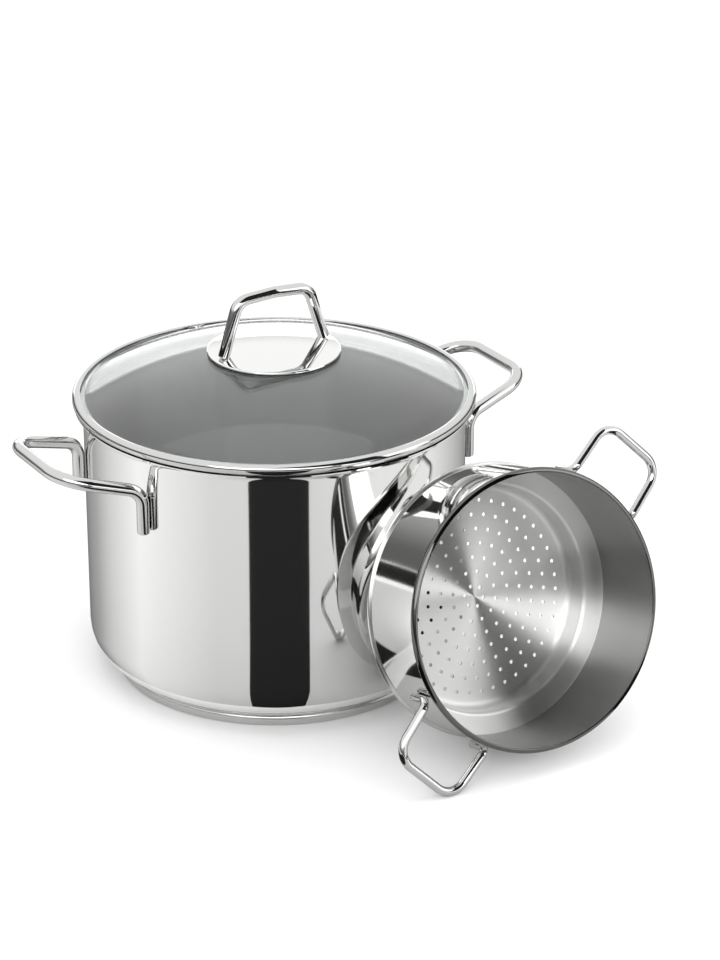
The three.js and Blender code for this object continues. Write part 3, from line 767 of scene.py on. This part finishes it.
# Studio. A white floor under a white sky, soft lamps all round, and grey and black cards that only the
# polished steel sees, which give it its shades and its dark streaks.
FLOOR_HALF = 6
FLOOR_WHITE = "#f7f7f7"
floor_form = bmesh.new()
bmesh.ops.create_grid(floor_form, x_segments=1, y_segments=1, size=FLOOR_HALF)
floor_mesh = bpy.data.meshes.new("studio_floor")
floor_form.to_mesh(floor_mesh)
floor_form.free()
floor = bpy.data.objects.new("studio_floor", floor_mesh)
bpy.context.collection.objects.link(floor)
floor_paper = bpy.data.materials.new("white_studio_paper")
floor_paper.use_nodes = True
floor_paper.node_tree.nodes["Principled BSDF"].inputs["Base Color"].default_value = linear(FLOOR_WHITE)
floor_paper.node_tree.nodes["Principled BSDF"].inputs["Roughness"].default_value = 0.9
floor_paper.node_tree.nodes["Principled BSDF"].inputs["Specular IOR Level"].default_value = 0
floor_mesh.materials.append(floor_paper)

# Sky: soft white light from above, and the dim room low down, which draws a dark line along each rod.
# The camera itself sees plain white.
ROOM = 0.15
SKY = 1.1
ROOM_TOP = math.sin(math.radians(3))
SKY_START = math.sin(math.radians(22))
sky = bpy.data.worlds.new("white_studio")
sky.use_nodes = True
tree = sky.node_tree
tree.nodes["Background"].inputs["Color"].default_value = (1, 1, 1, 1)
height = node(
    tree, "ShaderNodeSeparateXYZ", {0: node(tree, "ShaderNodeTexCoord", {}).outputs["Generated"]}
).outputs["Z"]
glow = node(
    tree, "ShaderNodeMapRange",
    {"Value": height, "From Min": ROOM_TOP, "From Max": SKY_START, "To Min": ROOM, "To Max": SKY},
    interpolation_type="SMOOTHSTEP",
).outputs[0]
direct = node(tree, "ShaderNodeLightPath", {}).outputs["Is Camera Ray"]
strength = node(tree, "ShaderNodeMath", {0: glow, 1: direct}, operation="MAXIMUM").outputs[0]
tree.links.new(strength, tree.nodes["Background"].inputs["Strength"])
bpy.context.scene.world = sky

# Camera, at the place that makes the pot's ellipses fall where they do in the photograph.
CAMERA_PLACE = Vector((-0.8958, -1.5955, 0.924))
CAMERA_PITCH = math.radians(23.69)
CAMERA_TURN = math.radians(31)
LENS = 117.4
FILM_HEIGHT = 36
camera = bpy.data.objects.new("camera", bpy.data.cameras.new("camera"))
camera.data.sensor_fit = "VERTICAL"
camera.data.sensor_height = FILM_HEIGHT
camera.data.lens = LENS
camera.location = CAMERA_PLACE
camera.rotation_euler = (math.pi / 2 - CAMERA_PITCH, 0, -CAMERA_TURN)
bpy.context.collection.objects.link(camera)
bpy.context.scene.camera = camera

# Softboxes: a large one overhead, for the soft shadow, one over the camera and one to the right, which
# the rods and the basket's bottom mirror, and a low one behind, for the far side of the lid glass. Places
# are right of, away from and above the pot, as the camera sees it.
heading = Matrix.Rotation(-CAMERA_TURN, 4, "Z")
SOFTBOXES = {
    "softbox_overhead": {"place": (-0.1, 0.1, 1.9), "aim": (-0.1, 0.1, 0), "size": (1.6, 1.6), "power": 6},
    "softbox_front": {"place": (0, -1.9, 1.2), "aim": (0, 0, 0.1), "size": (2.6, 1.2), "power": 16},
    "softbox_right": {"place": (1.7, -0.8, 0.6), "aim": (0, 0, 0.6), "size": (2, 1.3), "power": 12},
    "softbox_behind": {"place": (0, 1.8, 0.36), "aim": (0, 0, 0.36), "size": (2, 0.66), "power": 6},
}
for name, box in SOFTBOXES.items():
    lamp = bpy.data.objects.new(name, bpy.data.lights.new(name, "AREA"))
    lamp.data.shape = "RECTANGLE"
    lamp.data.size, lamp.data.size_y = box["size"]
    lamp.data.energy = box["power"]
    lamp.visible_glossy = name != "softbox_overhead"
    aim = Vector(box["aim"]) - Vector(box["place"])
    facing = aim.to_track_quat("-Z", "Y").to_matrix().to_4x4()
    lamp.matrix_world = heading @ Matrix.Translation(box["place"]) @ facing
    bpy.context.collection.objects.link(lamp)

# Cards. Each is a sheet of paper that only shows in the polished steel. Their corners are measured as
# the softboxes' places are.
CARD_BLACK = "#222222"


def paper(name, hex_colour):
    """Dull studio paper."""
    finish = bpy.data.materials.new(name)
    finish.use_nodes = True
    sheet = finish.node_tree.nodes["Principled BSDF"]
    sheet.inputs["Base Color"].default_value = linear(hex_colour)
    sheet.inputs["Roughness"].default_value = 1
    sheet.inputs["Specular IOR Level"].default_value = 0
    return finish


def card(name, finish, rows):
    """A card that only mirror reflections see, through rows of two points. Its u runs from row to row."""
    form = bmesh.new()
    u_layer = form.loops.layers.uv.new("u")
    points = [[form.verts.new(heading @ Vector(point)) for point in row] for row in rows]
    for i in range(len(rows) - 1):
        face = form.faces.new((points[i][0], points[i][1], points[i + 1][1], points[i + 1][0]))
        for loop, step in zip(face.loops, (i, i, i + 1, i + 1)):
            loop[u_layer].uv = (step / (len(rows) - 1), 0)
    mesh = bpy.data.meshes.new(name)
    form.to_mesh(mesh)
    form.free()
    mesh.materials.append(finish)
    made = bpy.data.objects.new(name, mesh)
    bpy.context.collection.objects.link(made)
    made.visible_camera = False
    made.visible_diffuse = False
    made.visible_transmission = False
    made.visible_shadow = False


# The pot's wall mirrors the floor along straight tracks: from a point of the wall at some angle from the
# camera's side, the track runs out at twice that angle. Edges along tracks are upright in the wall.
CARD_LIFT = 0.001
LOW_CARD_LIFT = CARD_LIFT / 2
TRACK_LENGTH = 0.75


def track(angle, lift=CARD_LIFT):
    """The two ends of the floor track that the wall mirrors at an angle from the camera's side."""
    start = Vector((wall_r * math.sin(angle), -wall_r * math.cos(angle), lift))
    return start, start + TRACK_LENGTH * Vector((math.sin(2 * angle), -math.cos(2 * angle), 0))


STRIP_LEFT = math.radians(-7.2)
STRIP_RIGHT = math.radians(11)
black_paper = paper("black_studio_paper", CARD_BLACK)
card("card_strip", black_paper, [track(STRIP_LEFT), track(STRIP_RIGHT)])

# The white paper ends a metre out, and the dark floor of the room shows beyond it.
PAPER_R = 1.1
ROOM_R = 5
ROOM_STEPS = 48
room_turns = [math.tau * i / ROOM_STEPS for i in range(ROOM_STEPS + 1)]
card("card_room", black_paper, [
    [Vector((r * math.sin(turn), -r * math.cos(turn), CARD_LIFT)) for r in (PAPER_R, ROOM_R)]
    for turn in room_turns
])

# The floor round the pot, as its wall mirrors it: brightest to the left, a little grey beside the strip,
# and falling off to grey behind, which darkens both edges of the wall.
WALL_SPAN = math.pi
WALL_STEPS = 192
WALL_SHADES = (
    (-70, "#9c9c9c"), (-60, "#c4c4c4"), (-45, "#e6e6e6"), (-18, "#c6c6c6"), (12, "#c2c2c2"),
    (50, "#dcdcdc"), (70, "#acacac"),
)
WALL_EDGE_SHADE = "#606060"


def shaded_paper(name, shades):
    """Paper whose shade changes along a card's u, from the edge shade at both ends."""
    finish = paper(name, FLOOR_WHITE)
    tree = finish.node_tree
    place = node(tree, "ShaderNodeTexCoord", {}).outputs["UV"]
    u = node(tree, "ShaderNodeSeparateXYZ", {0: place}).outputs["X"]
    ramp = node(tree, "ShaderNodeValToRGB", {"Fac": u})
    stops = ramp.color_ramp.elements
    stops[0].color = stops[1].color = linear(WALL_EDGE_SHADE)
    for at, shade in shades:
        stops.new(at).color = linear(shade)
    tree.links.new(ramp.outputs["Color"], tree.nodes["Principled BSDF"].inputs["Base Color"])
    return finish


wall_stops = [(math.radians(turn) / WALL_SPAN + 0.5, shade) for turn, shade in WALL_SHADES]
wall_tracks = [track(WALL_SPAN * (i / WALL_STEPS - 0.5), LOW_CARD_LIFT) for i in range(WALL_STEPS + 1)]
card("card_floor", shaded_paper("shaded_floor_paper", wall_stops), wall_tracks)

# The floor straight behind the pot, pale in the middle, closes the ring.
BEHIND_STEPS = 48
BEHIND_STOPS = ((0.25, "#c0c0c0"), (0.5, FLOOR_WHITE), (0.75, "#c0c0c0"))
behind_x = [wall_r * (1 - 2 * i / BEHIND_STEPS) for i in range(BEHIND_STEPS + 1)]
card("card_behind", shaded_paper("shaded_back_paper", BEHIND_STOPS), [
    (Vector((x, math.sqrt(wall_r ** 2 - x ** 2), LOW_CARD_LIFT)), Vector((x, TRACK_LENGTH, LOW_CARD_LIFT)))
    for x in behind_x
])

# Curved black card beside the camera. It lies along the fan into which the basket's brushed bottom
# spreads its reflection, and shows there as the dark wedge across the holes.
WEDGE_TURN = math.radians(127)
WEDGE_WAIST = 0.025
WEDGE_FLARE = 0.36
WEDGE_SLOPE = 0.85
WEDGE_STEPS = 16
WEDGE_DISTANCE = 1.1
seen_from = (CAMERA_PLACE - basket_middle).normalized()
sideways = heading.to_3x3() @ Vector((1, 0, 0))
sideways = (sideways - axis * axis.dot(sideways)).normalized()
upwards = axis.cross(sideways)
along_wedge = math.cos(WEDGE_TURN) * sideways + math.sin(WEDGE_TURN) * upwards
across_wedge = axis.cross(along_wedge)


def wedge_edge(slope, side):
    """Where a scratch's flank of the given slope mirrors the camera to, on one side of the wedge."""
    half = WEDGE_WAIST + WEDGE_FLARE * abs(slope)
    flank = (axis + slope * along_wedge + side * half * across_wedge).normalized()
    way = -seen_from.reflect(flank)
    to_floor = (CARD_LIFT - basket_middle.z) / way.z
    reach = to_floor if 0 < to_floor < WEDGE_DISTANCE else WEDGE_DISTANCE
    return heading.inverted() @ (basket_middle + way * reach)


wedge_slopes = [WEDGE_SLOPE * (2 * i / WEDGE_STEPS - 1) for i in range(WEDGE_STEPS + 1)]
card("card_wedge", black_paper, [(wedge_edge(slope, -1), wedge_edge(slope, 1)) for slope in wedge_slopes])

bpy.context.scene.view_settings.view_transform = "Standard"
